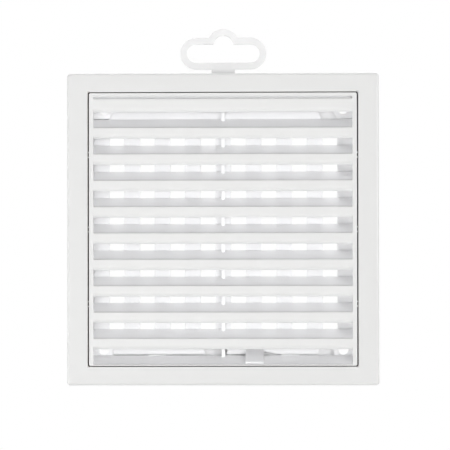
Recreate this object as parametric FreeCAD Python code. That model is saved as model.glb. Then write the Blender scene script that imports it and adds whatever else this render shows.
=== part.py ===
import FreeCAD, Part
import math
import os

# Louvred vent grille with a sliding shutter, white plastic, for a wall duct.
# Millimetres. X to the right, Z up, the front looks along -Y, the wall is the plane Y = 0.
# The origin is the middle of the back face. Three mouldings: base, louvre insert, shutter.

# Base frame
flange_width = 140.0
flange_height = 140.0
base_depth = 12.5
border_side = 9.4           # face width left and right of the opening
border_end = 8.4            # face width above and below the opening
front_wall = 2.0
skirt_wall = 1.8
pocket_wall = 1.6
back_wall = 1.6
flange_corner = 1.5
front_round = 1.2
opening_corner = 1.0
edge_break = 0.25
channel_rib_wall = 1.2
channel_rib_spacing = 30.0
channel_rib_setback = 1.0

# Air windows, the same in the backplate and the shutter
window_pitch = 13.75
window_width = 6.75
window_height = 8.2
window_lift = 2.1           # window centre above the middle of its louvre gap

# Wall screws
screw_hole = 4.6
screw_inset_side = 6.6      # from the pocket wall
screw_inset_end = 7.35
pad_reach = 4.1             # from a screw to the stop edge of its pad

# Hanging ring
hanger_width = 38.9
hanger_wall = 3.0
hanger_slot_height = 8.3
hanger_dome_radius = 4.2
hanger_thickness = 1.6
hanger_neck_width = 10.5
hanger_neck_length = 2.55
hanger_dome_drop = 0.25     # dome centre below the top of the slot
hanger_blend = 0.8

# Louvre insert
insert_gap_side = 0.45
insert_gap_end = 0.35
insert_corner = 0.8
insert_skirt = 1.1
rim_side = 2.0
rim_top = 1.7
rim_bottom = 0.55
rim_depth = 2.4
row_pitch = 11.83
slat_wall = 1.2
slat_face_height = 4.65
slat_lip_radius = 1.7
web_angle = 27.8            # rise of a slat's web towards the back, degrees
web_foot = 0.2              # lowest crease above the insert's bottom edge
top_step = 2.85             # top crease below the insert's top edge
end_room = 3.0              # height kept free for the top face beside whole rows
middle_rib_width = 1.57
middle_rib_depth = 1.6
grip_rib_width = 0.45
grip_rib_spacing = 2.1
grip_rib_length = 8.0
grip_rib_setback = 0.3
grip_pair_spacing = 33.5
grip_clearance = 0.05
hook_width = 8.0
hook_offset = 30.0
hook_toe = 0.9
hook_overlap = 1.2

# Shutter
shutter_thickness = 1.2
shutter_end_gap = 0.65
shutter_strip_edge = 5.05   # strip edge inside the insert's outer edge
strip_inset = 3.1           # height of the slanted part of a strip's end
strip_slant = 1.85          # how far a strip's end leans
strip_shoulder = 6.6        # height of a strip beyond the lattice
notch_depth = 3.3
notch_clearance = 0.3
notch_lean = 1.0
tab_width = 8.1
tab_offset = 14.1
tab_thickness = 0.8
tab_setback = 0.8
tab_lift = 0.3
relief_width = 4.5
relief_height = 1.1
relief_rise = 0.6           # how much higher the relief is beside the tab

# Running clearances
slide_clearance = 0.2
stop_clearance = 0.1
pad_clearance = 0.4

# Modelling allowances
overrun = 1.0               # how far a cutter passes the face it opens
match = 0.01                # two places closer than this are the same

# Worked out from the above
front = -base_depth
floor = -back_wall
flange_half_x = flange_width / 2
flange_half_z = flange_height / 2
opening_half_x = flange_half_x - border_side
opening_half_z = flange_half_z - border_end
insert_half_x = opening_half_x - insert_gap_side
insert_half_z = opening_half_z - insert_gap_end
inner_half_x = insert_half_x - insert_skirt
inner_half_z = insert_half_z - insert_skirt
screw_x = opening_half_x - screw_inset_side
screw_z = opening_half_z - screw_inset_end

toe_rear = floor - slide_clearance
toe_front = toe_rear - hook_toe
shutter_rear = toe_front - slide_clearance
shutter_front = shutter_rear - shutter_thickness
slat_rear = shutter_front - slide_clearance
pad_front = shutter_front + slide_clearance
slat_depth = slat_rear - front
web_slope = math.tan(math.radians(web_angle))
web_rise = slat_depth * web_slope
web_height = slat_wall / math.cos(math.radians(web_angle))

row_count = int((2 * insert_half_z - end_room) / row_pitch)
gap_height = row_pitch - web_rise - slat_face_height
low_crease = -insert_half_z + web_foot
low_window = low_crease + web_rise + gap_height / 2 + window_lift

travel = window_pitch / 2
bar_width = window_pitch - window_width
column_room = inner_half_x - shutter_end_gap - travel + bar_width / 2
column_count = int(2 * column_room / window_pitch)
window_edge = (column_count * window_pitch - bar_width) / 2

strip_half_z = insert_half_z - shutter_strip_edge
lattice_half_z = strip_half_z - strip_shoulder
pad_edge = screw_x - pad_reach
strip_left = stop_clearance - pad_edge
strip_right = pad_edge - stop_clearance - travel
middle_rib_half = middle_rib_width / 2


def vec(x, y, z):
    return FreeCAD.Vector(x, y, z)


def block(x0, x1, y0, y1, z0, z1):
    """A box between two corners."""
    return Part.makeBox(x1 - x0, y1 - y0, z1 - z0, vec(x0, y0, z0))


def plate(outline, y0, y1):
    """A flat plate from an outline of (x, z) points."""
    points = [vec(x, y0, z) for x, z in outline]
    return Part.Face(Part.makePolygon(points + points[:1])).extrude(vec(0, y1 - y0, 0))


def rounded_slab(half_x, half_z, radius, y0, y1, mid_z=0.0):
    """A slab with rounded corners, centred on X, standing in the XZ plane."""
    bend = radius * (1 - math.sqrt(0.5))
    flat_x = half_x - radius
    flat_z = half_z - radius
    edges = []
    for sx, sz in ((1, 1), (-1, 1), (-1, -1), (1, -1)):
        side = vec(sx * half_x, y0, mid_z + sz * flat_z)
        mid = vec(sx * (half_x - bend), y0, mid_z + sz * (half_z - bend))
        end = vec(sx * flat_x, y0, mid_z + sz * half_z)
        start, stop = (side, end) if sx * sz > 0 else (end, side)
        if edges and edges[-1].Vertexes[-1].Point.distanceToPoint(start) > match:
            edges.append(Part.makeLine(edges[-1].Vertexes[-1].Point, start))
        edges.append(Part.Arc(start, mid, stop).toShape())
    if edges[-1].Vertexes[-1].Point.distanceToPoint(edges[0].Vertexes[0].Point) > match:
        edges.append(Part.makeLine(edges[-1].Vertexes[-1].Point, edges[0].Vertexes[0].Point))
    return Part.Face(Part.Wire(edges)).extrude(vec(0, y1 - y0, 0))


def round_front(solid, radius, half_x):
    """Round the front edges no further out than half_x."""
    edges = [e for e in solid.Edges
             if all(abs(v.Y - front) < match and abs(v.X) < half_x + match for v in e.Vertexes)]
    return solid.makeFillet(radius, edges)


def window_centres():
    """Middles of the air windows, column by column."""
    xs = [(i - (column_count - 1) / 2) * window_pitch for i in range(column_count)]
    zs = [low_window + row_pitch * (k + 1) for k in range(row_count - 2)]
    return [(x, z) for x in xs for z in zs]


def window_cutters(y0, y1):
    half_x = window_width / 2
    half_z = window_height / 2
    return [block(x - half_x, x + half_x, y0, y1, z - half_z, z + half_z)
            for x, z in window_centres()]


# Base frame

def flange_shell():
    """Flange, outer skirt and pocket wall, with the channel between them open at the back."""
    shell = rounded_slab(flange_half_x, flange_half_z, flange_corner, front, 0)
    shell = round_front(shell, front_round, flange_half_x)
    channel = rounded_slab(flange_half_x - skirt_wall, flange_half_z - skirt_wall,
                           flange_corner, front + front_wall, overrun)
    core = rounded_slab(opening_half_x + pocket_wall, opening_half_z + pocket_wall,
                        opening_corner, front, overrun)
    pocket = rounded_slab(opening_half_x, opening_half_z, opening_corner, front - overrun, floor)
    shell = shell.cut([channel.cut(core), pocket])
    return round_front(shell, edge_break, opening_half_x)


def channel_ribs():
    """Stiffening ribs across the channel, evenly spaced along each side."""
    ribs = []
    y0 = front + front_wall
    y1 = -channel_rib_setback
    half = channel_rib_wall / 2
    wall_x = opening_half_x + pocket_wall / 2
    wall_z = opening_half_z + pocket_wall / 2
    edge_x = flange_half_x - skirt_wall / 2
    edge_z = flange_half_z - skirt_wall / 2
    along_x = int(opening_half_x / channel_rib_spacing)
    along_z = int(opening_half_z / channel_rib_spacing)
    for i in range(-along_z, along_z + 1):
        z = i * channel_rib_spacing
        ribs.append(block(wall_x, edge_x, y0, y1, z - half, z + half))
        ribs.append(block(-edge_x, -wall_x, y0, y1, z - half, z + half))
    for i in range(-along_x, along_x + 1):
        x = i * channel_rib_spacing
        ribs.append(block(x - half, x + half, y0, y1, wall_z, edge_z))
        ribs.append(block(x - half, x + half, y0, y1, -edge_z, -wall_z))
    return ribs


def screw_pads():
    """Raised corner pads for the screws; their slanted inner edges stop the shutter."""
    low = lattice_half_z + pad_clearance
    high = inner_half_z - pad_clearance
    side = inner_half_x - pad_clearance
    bend = lattice_half_z + strip_inset
    lean = strip_slant * (bend - low) / strip_inset
    outline = [(pad_edge, high), (pad_edge, bend), (pad_edge + lean, low), (side, low),
               (side, high)]
    pads = []
    for sx in (-1, 1):
        for sz in (-1, 1):
            corner = [(sx * x, sz * z) for x, z in outline]
            pads.append(plate(corner, pad_front, floor))
    return pads


def screw_holes():
    y0 = pad_front - overrun
    return [Part.makeCylinder(screw_hole / 2, overrun - y0, vec(sx * screw_x, y0, sz * screw_z),
                              vec(0, 1, 0))
            for sx in (-1, 1) for sz in (-1, 1)]


def blend_edges(solid, radius, places):
    """Round the edges along Y that pass through the given (x, z) places."""
    edges = [e for e in solid.Edges
             if any(all(abs(v.X - x) < match and abs(v.Z - z) < match for v in e.Vertexes)
                    for x, z in places)]
    return solid.makeFillet(radius, edges)


def loop_plate(half_x, half_z, dome, mid_z, dome_z, y0, y1):
    """A stadium with a round dome on top, the two corners between them blended."""
    stadium = rounded_slab(half_x, half_z, half_z, y0, y1, mid_z)
    disc = Part.makeCylinder(dome, y1 - y0, vec(0, y0, dome_z), vec(0, 1, 0))
    solid = stadium.fuse(disc).removeSplitter()
    top = mid_z + half_z
    reach = math.sqrt(dome ** 2 - (top - dome_z) ** 2)
    return blend_edges(solid, hanger_blend, [(reach, top), (-reach, top)])


def hanger():
    """Shop hanging ring, in the plane of the back face, on a short neck above the flange."""
    slot_half_x = hanger_width / 2 - hanger_wall
    slot_half_z = hanger_slot_height / 2
    ring_half_z = slot_half_z + hanger_wall
    mid_z = flange_half_z + hanger_neck_length + ring_half_z
    dome_z = mid_z + slot_half_z - hanger_dome_drop
    y0 = -hanger_thickness
    ring = loop_plate(hanger_width / 2, ring_half_z, hanger_dome_radius + hanger_wall,
                      mid_z, dome_z, y0, 0)
    slot = loop_plate(slot_half_x, slot_half_z, hanger_dome_radius,
                      mid_z, dome_z, y0 - overrun, overrun)
    neck_half = hanger_neck_width / 2
    neck = block(-neck_half, neck_half, y0, 0, flange_half_z - skirt_wall / 2,
                 mid_z - slot_half_z - hanger_wall / 2)
    return ring.fuse(neck).cut(slot)


def make_base_frame():
    solid = flange_shell().fuse(channel_ribs() + screw_pads() + [hanger()])
    solid = solid.cut(window_cutters(floor - overrun, overrun) + screw_holes())
    return solid.removeSplitter()


# Louvre insert

def slat_section(crease, lip, depth):
    """Slat section: web up to the back, flat face, lip rolled under, one wall throughout."""
    bend = slat_lip_radius * (1 - math.sqrt(0.5))
    inner = slat_lip_radius - slat_wall
    inner_bend = slat_wall + inner * (1 - math.sqrt(0.5))
    rise = depth * web_slope

    def at(back, z):
        return vec(0, front + back, z)

    rear_top = at(depth, crease + rise)
    rear_low = at(depth, crease + rise - web_height)
    fold = at(0, crease)
    face_low = at(0, lip + slat_lip_radius)
    lip_end = at(slat_lip_radius, lip)
    lip_inside = at(slat_lip_radius, lip + slat_wall)
    back_low = at(slat_wall, lip + slat_lip_radius)
    back_top = at(slat_wall, crease + slat_wall * web_slope - web_height)
    edges = [Part.makeLine(rear_top, fold),
             Part.makeLine(fold, face_low),
             Part.Arc(face_low, at(bend, lip + bend), lip_end).toShape(),
             Part.makeLine(lip_end, lip_inside),
             Part.Arc(lip_inside, at(inner_bend, lip + inner_bend), back_low).toShape(),
             Part.makeLine(back_low, back_top),
             Part.makeLine(back_top, rear_low),
             Part.makeLine(rear_low, rear_top)]
    return Part.Face(Part.Wire(edges))


def across(section):
    """Carry a section from one side skirt to the other."""
    reach = inner_half_x + insert_skirt / 2
    section.translate(vec(-reach, 0, 0))
    return section.extrude(vec(2 * reach, 0, 0))


def slats():
    """Whole slats at one pitch, then the taller top face and the web at the bottom."""
    made = []
    for k in range(1, row_count):
        crease = low_crease + k * row_pitch
        made.append(across(slat_section(crease, crease - slat_face_height, slat_depth)))
    top_crease = insert_half_z - top_step
    top_lip = low_crease + row_count * row_pitch - slat_face_height
    top_depth = (inner_half_z + insert_skirt / 2 - top_crease) / web_slope
    made.append(across(slat_section(top_crease, top_lip, top_depth)))
    foot = [vec(0, front, low_crease), vec(0, slat_rear, low_crease + web_rise),
            vec(0, slat_rear, low_crease + web_rise - web_height),
            vec(0, front, low_crease - web_height)]
    made.append(across(Part.Face(Part.makePolygon(foot + foot[:1]))))
    return made


def insert_frame(envelope):
    """Skirt all round, with a rim at the front that is wide at the sides and thin below."""
    hollow = block(-inner_half_x, inner_half_x, front + rim_depth, floor + overrun,
                   -inner_half_z, inner_half_z)
    mouth = block(rim_side - insert_half_x, insert_half_x - rim_side,
                  front - overrun, front + rim_depth,
                  rim_bottom - insert_half_z, insert_half_z - rim_top)
    return envelope.cut([hollow, mouth])


def middle_rib():
    """Upright behind the slats; at both ends it runs through the shutter to the backplate."""
    y0 = slat_rear - middle_rib_depth
    rib = block(-middle_rib_half, middle_rib_half, y0, slat_rear, -inner_half_z, inner_half_z)
    start = strip_half_z - notch_depth + notch_clearance
    upper = block(-middle_rib_half, middle_rib_half, y0, floor, start, inner_half_z)
    lower = block(-middle_rib_half, middle_rib_half, y0, floor, -inner_half_z, -start)
    return [rib, upper, lower]


def grip_ribs():
    """Three pairs of small ribs on each side that grip the pocket wall."""
    reach = opening_half_x - grip_clearance
    y0 = front + grip_rib_setback
    half = grip_rib_width / 2
    ribs = []
    for pair in (-1, 0, 1):
        for end in (-0.5, 0.5):
            z = pair * grip_pair_spacing + end * grip_rib_spacing
            for x0, x1 in ((-reach, -inner_half_x), (inner_half_x, reach)):
                ribs.append(block(x0, x1, y0, y0 + grip_rib_length, z - half, z + half))
    return ribs


def shutter_hooks():
    """Hooks on the top and bottom skirt that carry the shutter's strips from behind."""
    root = strip_half_z + slide_clearance
    toe = strip_half_z - hook_overlap
    wall = inner_half_z + insert_skirt / 2
    section = [(slat_rear, root), (slat_rear, wall), (toe_rear, wall), (toe_rear, toe),
               (toe_front, toe), (toe_front, root)]
    hooks = []
    for x in (-hook_offset, hook_offset):
        for s in (-1, 1):
            points = [vec(x - hook_width / 2, y, s * z) for y, z in section]
            face = Part.Face(Part.makePolygon(points + points[:1]))
            hooks.append(face.extrude(vec(hook_width, 0, 0)))
    return hooks


def make_louvre_insert():
    envelope = rounded_slab(insert_half_x, insert_half_z, insert_corner, front, floor)
    envelope = round_front(envelope, edge_break, insert_half_x)
    pieces = [slat.common(envelope) for slat in slats()]
    pieces += middle_rib() + grip_ribs() + shutter_hooks()
    return insert_frame(envelope).fuse(pieces).removeSplitter()


# Shutter

def shutter_outline():
    """Lattice with a strip above and below whose ends lean like the pads."""
    left = shutter_end_gap - inner_half_x
    right = window_edge - window_width
    bend = lattice_half_z + strip_inset
    top = [(left, lattice_half_z), (strip_left - strip_slant, lattice_half_z),
           (strip_left, bend), (strip_left, strip_half_z),
           (strip_right, strip_half_z), (strip_right, bend), (right, lattice_half_z)]
    return top + [(x, -z) for x, z in reversed(top)]


def notches():
    """Room in both strips for the middle rib over the whole travel."""
    left = -(travel + middle_rib_half + notch_clearance)
    right = middle_rib_half + notch_clearance
    inner = strip_half_z - notch_depth
    outer = strip_half_z + overrun
    made = []
    for s in (-1, 1):
        outline = [(left - notch_lean, s * inner), (right + notch_lean, s * inner),
                   (right, s * outer), (left, s * outer)]
        made.append(plate(outline, shutter_front - overrun, shutter_rear + overrun))
    return made


def tab_relief():
    """Small step in the lower strip's edge beside the tab."""
    x0 = tab_offset + tab_width / 2 + slide_clearance
    x1 = x0 + relief_width
    low = -strip_half_z
    high = low + relief_height
    outline = [(x0, low - overrun), (x0, high), (x1, high - relief_rise), (x1, low - overrun)]
    return plate(outline, shutter_front - overrun, shutter_rear + overrun)


def finger_tab():
    """Blade through the lowest gap, running down and forward over the bottom web."""
    lip = low_crease + row_pitch - slat_face_height
    tip_low = low_crease + tab_setback * web_slope + tab_lift
    tip = front + tab_setback
    root = shutter_front + shutter_thickness / 2
    root_top = lip - slide_clearance
    slope = (root_top - tip_low - tab_thickness) / (shutter_front - tip)
    extra = slope * shutter_thickness / 2
    points = [vec(0, tip, tip_low), vec(0, tip, tip_low + tab_thickness),
              vec(0, root, root_top + extra), vec(0, root, root_top + extra - tab_thickness)]
    face = Part.Face(Part.makePolygon(points + points[:1]))
    face.translate(vec(tab_offset - tab_width / 2, 0, 0))
    return face.extrude(vec(tab_width, 0, 0))


def make_shutter():
    sheet = plate(shutter_outline(), shutter_front, shutter_rear)
    cuts = [cutter for cutter in window_cutters(shutter_front - overrun, shutter_rear + overrun)
            if cutter.BoundBox.XMax < window_edge - match]
    sheet = sheet.cut(cuts + notches() + [tab_relief()])
    return sheet.fuse(finger_tab()).removeSplitter()


os.makedirs("parts", exist_ok=True)
for name, make in (("base_frame", make_base_frame), ("louvre_insert", make_louvre_insert),
                   ("shutter", make_shutter)):
    shape = make()
    solids = shape.Solids
    print(name, "solids", len(solids), "valid", shape.isValid(), "volume", round(shape.Volume, 1))
    solids[0].exportStep("parts/" + name + ".step")
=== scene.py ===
import math

import bpy
import numpy as np
from mathutils import Matrix, Vector

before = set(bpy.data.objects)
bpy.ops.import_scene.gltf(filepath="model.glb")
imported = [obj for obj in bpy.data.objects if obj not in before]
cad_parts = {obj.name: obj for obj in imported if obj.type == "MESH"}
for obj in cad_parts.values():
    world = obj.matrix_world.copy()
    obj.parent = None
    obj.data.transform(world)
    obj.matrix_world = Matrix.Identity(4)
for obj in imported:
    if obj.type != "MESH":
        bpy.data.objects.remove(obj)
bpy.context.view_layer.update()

# Louvred vent grille in white moulded ABS, on a white studio ground.
# Metres; X right, Z up, the front looks along -Y, as in the CAD model.

mm = 0.001

# a Mix node that mixes colours takes them in these two sockets, and gives its result in this one
mixFirst, mixSecond, mixResult = 6, 7, 2


def toLinear(hexColour):
    # one sRGB hex colour as linear red, green, blue, alpha
    parts = [int(hexColour[i:i + 2], 16) / 255 for i in (0, 2, 4)]
    return [c / 12.92 if c <= 0.04045 else ((c + 0.055) / 1.055) ** 2.4 for c in parts] + [1.0]


def addNode(tree, kind, settings=None, values=None, links=None):
    # one node: its settings, its socket values, and the sockets that feed it
    node = tree.nodes.new(kind)
    for key, value in (settings or {}).items():
        setattr(node, key, value)
    for key, value in (values or {}).items():
        node.inputs[key].default_value = value
    for key, source in (links or {}).items():
        tree.links.new(source, node.inputs[key])
    return node


# Camera, fitted to the flange, slats and windows of the photo

photoCamera = {
    "azimuth": 1.43,        # degrees to the right of square on
    "elevation": -1.019,    # slightly below the middle
    "roll": -0.085,
    "distance": 1.25,
    "aim": (0.824 * mm, -6.25 * mm, 1.973 * mm),
    "focalPixels": 2774.2,
    "frameWidth": 450,      # pixels
    "sensor": 36.0,         # mm
    "clip": (0.01, 20),     # nearest and farthest that is drawn
}


def makeCamera(look):
    # on a ball round the aim, looking at it, then rolled about the line of sight
    azimuth, elevation, roll = (math.radians(look[key])
                                for key in ("azimuth", "elevation", "roll"))
    back = Vector((math.sin(azimuth) * math.cos(elevation),
                   -math.cos(azimuth) * math.cos(elevation),
                   math.sin(elevation)))
    level = Vector((math.cos(azimuth), math.sin(azimuth), 0))
    upright = back.cross(level)
    right = level * math.cos(roll) + upright * math.sin(roll)
    up = upright * math.cos(roll) - level * math.sin(roll)
    data = bpy.data.cameras.new("photoCamera")
    data.sensor_width = look["sensor"]
    data.lens = look["focalPixels"] / look["frameWidth"] * look["sensor"]
    data.clip_start, data.clip_end = look["clip"]
    camera = bpy.data.objects.new("photoCamera", data)
    stand = Matrix.Translation(Vector(look["aim"]) + back * look["distance"])
    camera.matrix_world = stand @ Matrix((right, up, back)).transposed().to_4x4()
    bpy.context.scene.collection.objects.link(camera)
    bpy.context.scene.camera = camera


makeCamera(photoCamera)
print("camera placed")

# Studio

studio = {
    "floorHeight": -0.33,
    "floorHalf": 2.9,
    "floorColour": "f2f2f1",
    "floorRoughness": 0.9,
    "floorGlow": (0.3, 1.0),        # near the object, and at the far edge, where it meets the white
    "floorFade": (0.5, 2.4),        # metres from the object, between the two
    "background": "ffffff",
    "backgroundStrength": 1.0,
    "ambient": 0.23,
    "ambientColour": "fcfcff",
    "lamps": [
        # name, place, size, watts
        ("lowLeftSoftbox", (-0.55, -1.25, -0.3), 0.7, 5.7),
        ("lowFrontSoftbox", (-0.15, -1.35, -0.3), 0.6, 3.9),
        ("farRightSoftbox", (1.9, -2.2, -0.3), 1.2, 62.4),
        ("highFrontSoftbox", (-0.1, -1.35, 0.6), 0.8, 3.5),
        ("leftSideSoftbox", (-1.3, -0.2, -0.22), 0.4, 7.4),
        ("rimRightSoftbox", (1.3, 0.1, 0.1), 0.6, 1.9),
        ("rimTopSoftbox", (0.0, 0.15, 1.3), 0.6, 3.7),
        ("rearHighSoftbox", (0.0, 1.0, 0.9), 0.8, 3.7),
        ("rearSoftbox", (0.0, 1.3, 0.1), 1.6, 8.1),
    ],
    "lampAim": (0, 0, 0),
}


def makeFloor(look):
    # a flat square: two parameters from -1 to 1 times the half width
    ends = np.array([-1.0, 1.0]) * look["floorHalf"]
    xs, ys = np.meshgrid(ends, ends)
    points = np.stack([xs.ravel(), ys.ravel(), np.full(4, look["floorHeight"])], axis=1)
    mesh = bpy.data.meshes.new("studioFloor")
    mesh.from_pydata(points.tolist(), [], [(0, 1, 3, 2)])
    floor = bpy.data.objects.new("studioFloor", mesh)
    bpy.context.scene.collection.objects.link(floor)
    paper = bpy.data.materials.new("mattPaperGround")
    paper.use_nodes = True
    tree = paper.node_tree
    shader = tree.nodes["Principled BSDF"]
    shader.inputs["Base Color"].default_value = toLinear(look["floorColour"])
    shader.inputs["Roughness"].default_value = look["floorRoughness"]
    # paper lit from below for the camera alone, so it looks pale, keeps the shadow, and runs out
    # into the white background
    ray = addNode(tree, "ShaderNodeLightPath").outputs
    place = addNode(tree, "ShaderNodeTexCoord").outputs["Object"]
    away = addNode(tree, "ShaderNodeVectorMath", {"operation": "LENGTH"}, links={0: place})
    fade = addNode(tree, "ShaderNodeMapRange", {"interpolation_type": "SMOOTHSTEP"},
                   {"From Min": look["floorFade"][0], "From Max": look["floorFade"][1],
                    "To Min": look["floorGlow"][0], "To Max": look["floorGlow"][1]},
                   {"Value": away.outputs["Value"]})
    glow = addNode(tree, "ShaderNodeMath", {"operation": "MULTIPLY"},
                   links={0: ray["Is Camera Ray"], 1: fade.outputs[0]})
    shader.inputs["Emission Color"].default_value = toLinear(look["background"])
    tree.links.new(glow.outputs[0], shader.inputs["Emission Strength"])
    mesh.materials.append(paper)


def makeWorld(look):
    # white where the camera, glossy or clear rays reach it, plain ambient light elsewhere
    world = bpy.data.worlds.new("studioWorld")
    bpy.context.scene.world = world
    world.use_nodes = True
    tree = world.node_tree
    tree.nodes.clear()
    ray = addNode(tree, "ShaderNodeLightPath").outputs
    shown = ray["Is Camera Ray"]
    for kind in ("Is Glossy Ray", "Is Transmission Ray"):
        shown = addNode(tree, "ShaderNodeMath", {"operation": "MAXIMUM"},
                        links={0: shown, 1: ray[kind]}).outputs[0]
    ambient = addNode(tree, "ShaderNodeBackground",
                      values={"Color": toLinear(look["ambientColour"]),
                              "Strength": look["ambient"]})
    white = addNode(tree, "ShaderNodeBackground",
                    values={"Color": toLinear(look["background"]),
                            "Strength": look["backgroundStrength"]})
    mixed = addNode(tree, "ShaderNodeMixShader",
                    links={0: shown, 1: ambient.outputs[0], 2: white.outputs[0]})
    addNode(tree, "ShaderNodeOutputWorld", links={"Surface": mixed.outputs[0]})


def makeLamps(look):
    for name, place, size, watts in look["lamps"]:
        data = bpy.data.lights.new(name, "AREA")
        data.shape = "SQUARE"
        data.size = size
        data.energy = watts
        lamp = bpy.data.objects.new(name, data)
        lamp.location = place
        towards = Vector(look["lampAim"]) - Vector(place)
        lamp.rotation_euler = towards.to_track_quat("-Z", "Y").to_euler()
        lamp.visible_camera = False
        bpy.context.scene.collection.objects.link(lamp)


makeFloor(studio)
makeWorld(studio)
makeLamps(studio)
bpy.context.scene.view_settings.view_transform = "Standard"
print("studio lit")

# Materials

# Injection-moulded ABS: a dense white with a satin skin from the fine-sparked mould, and light
# that goes about a millimetre into it, so thin walls glow. On the base and the insert the outer
# shade is a little greyer than the inner one, so the recesses get painted light. On the shutter the
# tab has the outer shade, and the bars have the greyer inner one, which is painted shade on the
# bars.
absLooks = {
    "base_frame": {
        "name": "mouldedAbsBase", "outer": "d8d8d7", "inner": "f9f9fa", "paintedShadingFrom": "sides",
        "roughness": 0.42,
        "glow": 0.4, "glowDepth": 1.0,      # share of light that goes in, and mm that it goes
        "paintedShadeTo": (60.85, 61.0),    # mm from the middle, where the painted shade ends, past the wall's face
        "paintedShadeSpread": 0.5,          # how much less open the left and right walls count as, so they get darker painted shade
    },
    "louvre_insert": {
        "name": "mouldedAbsLouvres", "outer": "dadad9", "inner": "fafafb", "paintedShadingFrom": "front",
        "roughness": 0.38,
        "glow": 0.3, "glowDepth": 0.8,
        "paintedShadeTo": (60.18, 60.22),   # painted shade on the skirt, not on the grip ribs beyond it
        "paintedShadeSpread": -0.05,
    },
    "shutter": {
        "name": "mouldedAbsShutter", "outer": "fbfbfc", "inner": "f0f0f1", "paintedShadingFrom": "front",
        "roughness": 0.4,
        "glow": 0.5, "glowDepth": 1.0,
    },
}
absSkin = {
    "ior": 1.54,
    "glossSpread": 0.04,    # how far the roughness strays to either side, with the flow shades
    "glowRadius": (1.0, 1.0, 1.0),      # red, green and blue go equally deep
    "sparkGrain": 0.35,     # mm between the mould texture's bumps
    "sparkDetail": 1.0,
    "sparkDepth": 0.004,    # mm
    "flowWidth": 24.0,      # mm, width of the faint flow shades
    "flowDetail": 2.0,
    "flowBreakUp": 0.5,     # how rough the shades' finer waves are
    "flowShade": 0.985,     # how much darker the darkest of them is
    "edgeRound": 0.12,      # mm, softened corners of the moulding
    "edgeSamples": 4,
    "frontPaintedShading": (-12.5, -10.6),    # mm along Y, from the outer shade to the painted inner one
    "sidePaintedShading": (60.9, 60.5),       # mm from the middle, along X or Z
    "backFade": 0.35,       # how far the outer skin has gone to the painted inner shade at the wall
    "jointShadeTones": ("5e4f43", "332d2f"),      # painted shade tones in the joint round the insert, left and right
    "jointReach": 0.9,      # mm; only walls nearer than about half of this get painted shade
    "jointSamples": 8,
    "jointOpen": (0.25, 0.6),       # share of open sky with full painted shade, and with none
    "jointFrom": (59.8, 60.1),      # mm from the middle along X, where the joint begins
    "jointTaller": 1.1,             # mm more than that along Z
    "jointSpan": (-60.0, 60.0),     # mm along X, from the left tone to the right one
}


def whereOn(tree, place):
    # where a point lies along X and Y, and how far it is from the middle along X and Z
    axes = addNode(tree, "ShaderNodeSeparateXYZ", links={0: place}).outputs
    beside, above = (addNode(tree, "ShaderNodeMath", {"operation": "ABSOLUTE"},
                             links={0: axes[axis]}).outputs[0] for axis in ("X", "Z"))
    return {"x": axes["X"], "y": axes["Y"], "beside": beside, "above": above}


def paintedShadingDepth(tree, spot, look, skin):
    # 0 on the outer skin, 1 further in, where the inner shade is painted light in the recesses of
    # the base and the insert and painted shade on the shutter's bars; the base's skin also fades a
    # little towards the wall
    if look["paintedShadingFrom"] == "front":
        reach, ends = spot["y"], skin["frontPaintedShading"]
    else:
        reach = addNode(tree, "ShaderNodeMath", {"operation": "MAXIMUM"},
                        links={0: spot["beside"], 1: spot["above"]}).outputs[0]
        ends = skin["sidePaintedShading"]
    inside = addNode(tree, "ShaderNodeMapRange",
                     values={"From Min": ends[0] * mm, "From Max": ends[1] * mm},
                     links={"Value": reach}).outputs[0]
    if look["paintedShadingFrom"] == "front":
        return inside
    faded = addNode(tree, "ShaderNodeMapRange",
                    values={"From Min": skin["frontPaintedShading"][0] * mm, "From Max": 0.0,
                            "To Max": skin["backFade"]},
                    links={"Value": spot["y"]})
    return addNode(tree, "ShaderNodeMath", {"operation": "MAXIMUM"},
                   links={0: inside, 1: faded.outputs[0]}).outputs[0]


def jointPlace(tree, spot, look, skin):
    # 1 in the joint round the insert, where painted shade goes, 0 within the insert's walls, in the
    # channel behind the flange, and on the grip ribs, which keep the plastic's colour
    level = addNode(tree, "ShaderNodeMath", {"operation": "SUBTRACT"},
                    {1: skin["jointTaller"] * mm}, {0: spot["above"]})
    reach = addNode(tree, "ShaderNodeMath", {"operation": "MAXIMUM"},
                    links={0: spot["beside"], 1: level.outputs[0]})
    steps = []
    for (start, end), near, far in ((skin["jointFrom"], 0.0, 1.0), (look["paintedShadeTo"], 1.0, 0.0)):
        steps.append(addNode(tree, "ShaderNodeMapRange",
                             values={"From Min": start * mm, "From Max": end * mm,
                                     "To Min": near, "To Max": far},
                             links={"Value": reach.outputs[0]}))
    return addNode(tree, "ShaderNodeMath", {"operation": "MULTIPLY"},
                   links={0: steps[0].outputs[0], 1: steps[1].outputs[0]}).outputs[0]


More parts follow.
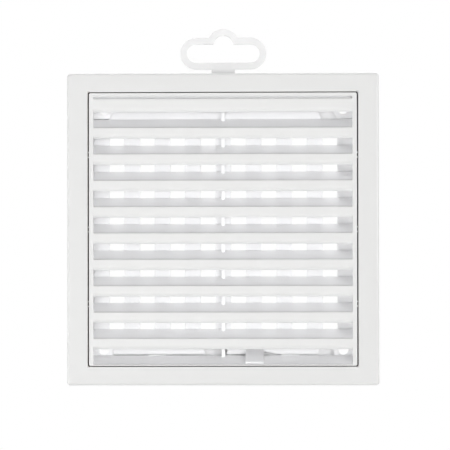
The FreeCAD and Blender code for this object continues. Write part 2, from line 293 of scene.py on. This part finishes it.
def paintedJointShade(tree, spot, colour, look, skin):
    # the plastic's colour, with painted shade over it in the joint, where little sky reaches the
    # wall;
    # the painted shade goes from one tone to the other from left to right
    sky = addNode(tree, "ShaderNodeAmbientOcclusion", {"samples": skin["jointSamples"]},
                  {"Distance": skin["jointReach"] * mm})
    upright = addNode(tree, "ShaderNodeMath", {"operation": "GREATER_THAN"},
                      {1: skin["jointFrom"][0] * mm}, {0: spot["beside"]})
    shut = addNode(tree, "ShaderNodeMath", {"operation": "MULTIPLY_ADD"},
                   {1: -look["paintedShadeSpread"]}, {0: upright.outputs[0], 2: sky.outputs["AO"]})
    shadeAmount = addNode(tree, "ShaderNodeMapRange",
                   values={"From Min": skin["jointOpen"][0], "From Max": skin["jointOpen"][1],
                           "To Min": 1.0, "To Max": 0.0},
                   links={"Value": shut.outputs[0]})
    shadedInJoint = addNode(tree, "ShaderNodeMath", {"operation": "MULTIPLY"},
                       links={0: shadeAmount.outputs[0], 1: jointPlace(tree, spot, look, skin)})
    side = addNode(tree, "ShaderNodeMapRange",
                   values={"From Min": skin["jointSpan"][0] * mm,
                           "From Max": skin["jointSpan"][1] * mm},
                   links={"Value": spot["x"]})
    tone = addNode(tree, "ShaderNodeMix", {"data_type": "RGBA"},
                   {mixFirst: toLinear(skin["jointShadeTones"][0]),
                    mixSecond: toLinear(skin["jointShadeTones"][1])},
                   {0: side.outputs[0]})
    return addNode(tree, "ShaderNodeMix", {"data_type": "RGBA"},
                   links={0: shadedInJoint.outputs[0], mixFirst: colour,
                          mixSecond: tone.outputs[mixResult]}).outputs[mixResult]


def mouldedAbs(look, skin):
    material = bpy.data.materials.new(look["name"])
    material.use_nodes = True
    tree = material.node_tree
    shader = tree.nodes["Principled BSDF"]
    place = addNode(tree, "ShaderNodeTexCoord").outputs["Object"]
    spot = whereOn(tree, place)
    # painted light and shade: one plastic in two shades, mixed by depth
    shade = addNode(tree, "ShaderNodeMix", {"data_type": "RGBA"},
                    {mixFirst: toLinear(look["outer"]), mixSecond: toLinear(look["inner"])},
                    {0: paintedShadingDepth(tree, spot, look, skin)})
    flow = addNode(tree, "ShaderNodeTexNoise",
                   values={"Scale": 1 / (skin["flowWidth"] * mm), "Detail": skin["flowDetail"],
                           "Roughness": skin["flowBreakUp"]},
                   links={"Vector": place})
    streak = addNode(tree, "ShaderNodeMapRange",
                     values={"To Min": skin["flowShade"], "To Max": 1.0},
                     links={"Value": flow.outputs["Fac"]})
    colour = addNode(tree, "ShaderNodeVectorMath", {"operation": "SCALE"},
                     links={0: shade.outputs[mixResult], "Scale": streak.outputs[0]}).outputs[0]
    # painted shade in the joint round the insert
    if "paintedShadeTo" in look:
        colour = paintedJointShade(tree, spot, colour, look, skin)
    tree.links.new(colour, shader.inputs["Base Color"])
    gloss = addNode(tree, "ShaderNodeMapRange",
                    values={"To Min": look["roughness"] - skin["glossSpread"],
                            "To Max": look["roughness"] + skin["glossSpread"]},
                    links={"Value": flow.outputs["Fac"]})
    tree.links.new(gloss.outputs[0], shader.inputs["Roughness"])
    grain = addNode(tree, "ShaderNodeTexNoise",
                    values={"Scale": 1 / (skin["sparkGrain"] * mm), "Detail": skin["sparkDetail"]},
                    links={"Vector": place})
    corners = addNode(tree, "ShaderNodeBevel", {"samples": skin["edgeSamples"]},
                      {"Radius": skin["edgeRound"] * mm})
    bump = addNode(tree, "ShaderNodeBump",
                   values={"Strength": 1.0, "Distance": skin["sparkDepth"] * mm},
                   links={"Height": grain.outputs["Fac"], "Normal": corners.outputs[0]})
    tree.links.new(bump.outputs[0], shader.inputs["Normal"])
    shader.inputs["IOR"].default_value = skin["ior"]
    shader.inputs["Subsurface Weight"].default_value = look["glow"]
    shader.inputs["Subsurface Radius"].default_value = skin["glowRadius"]
    shader.inputs["Subsurface Scale"].default_value = look["glowDepth"] * mm
    return material


for nodeName, look in absLooks.items():
    surface = mouldedAbs(look, absSkin)
    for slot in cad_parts[nodeName].material_slots:
        slot.material = surface
print("materials set")
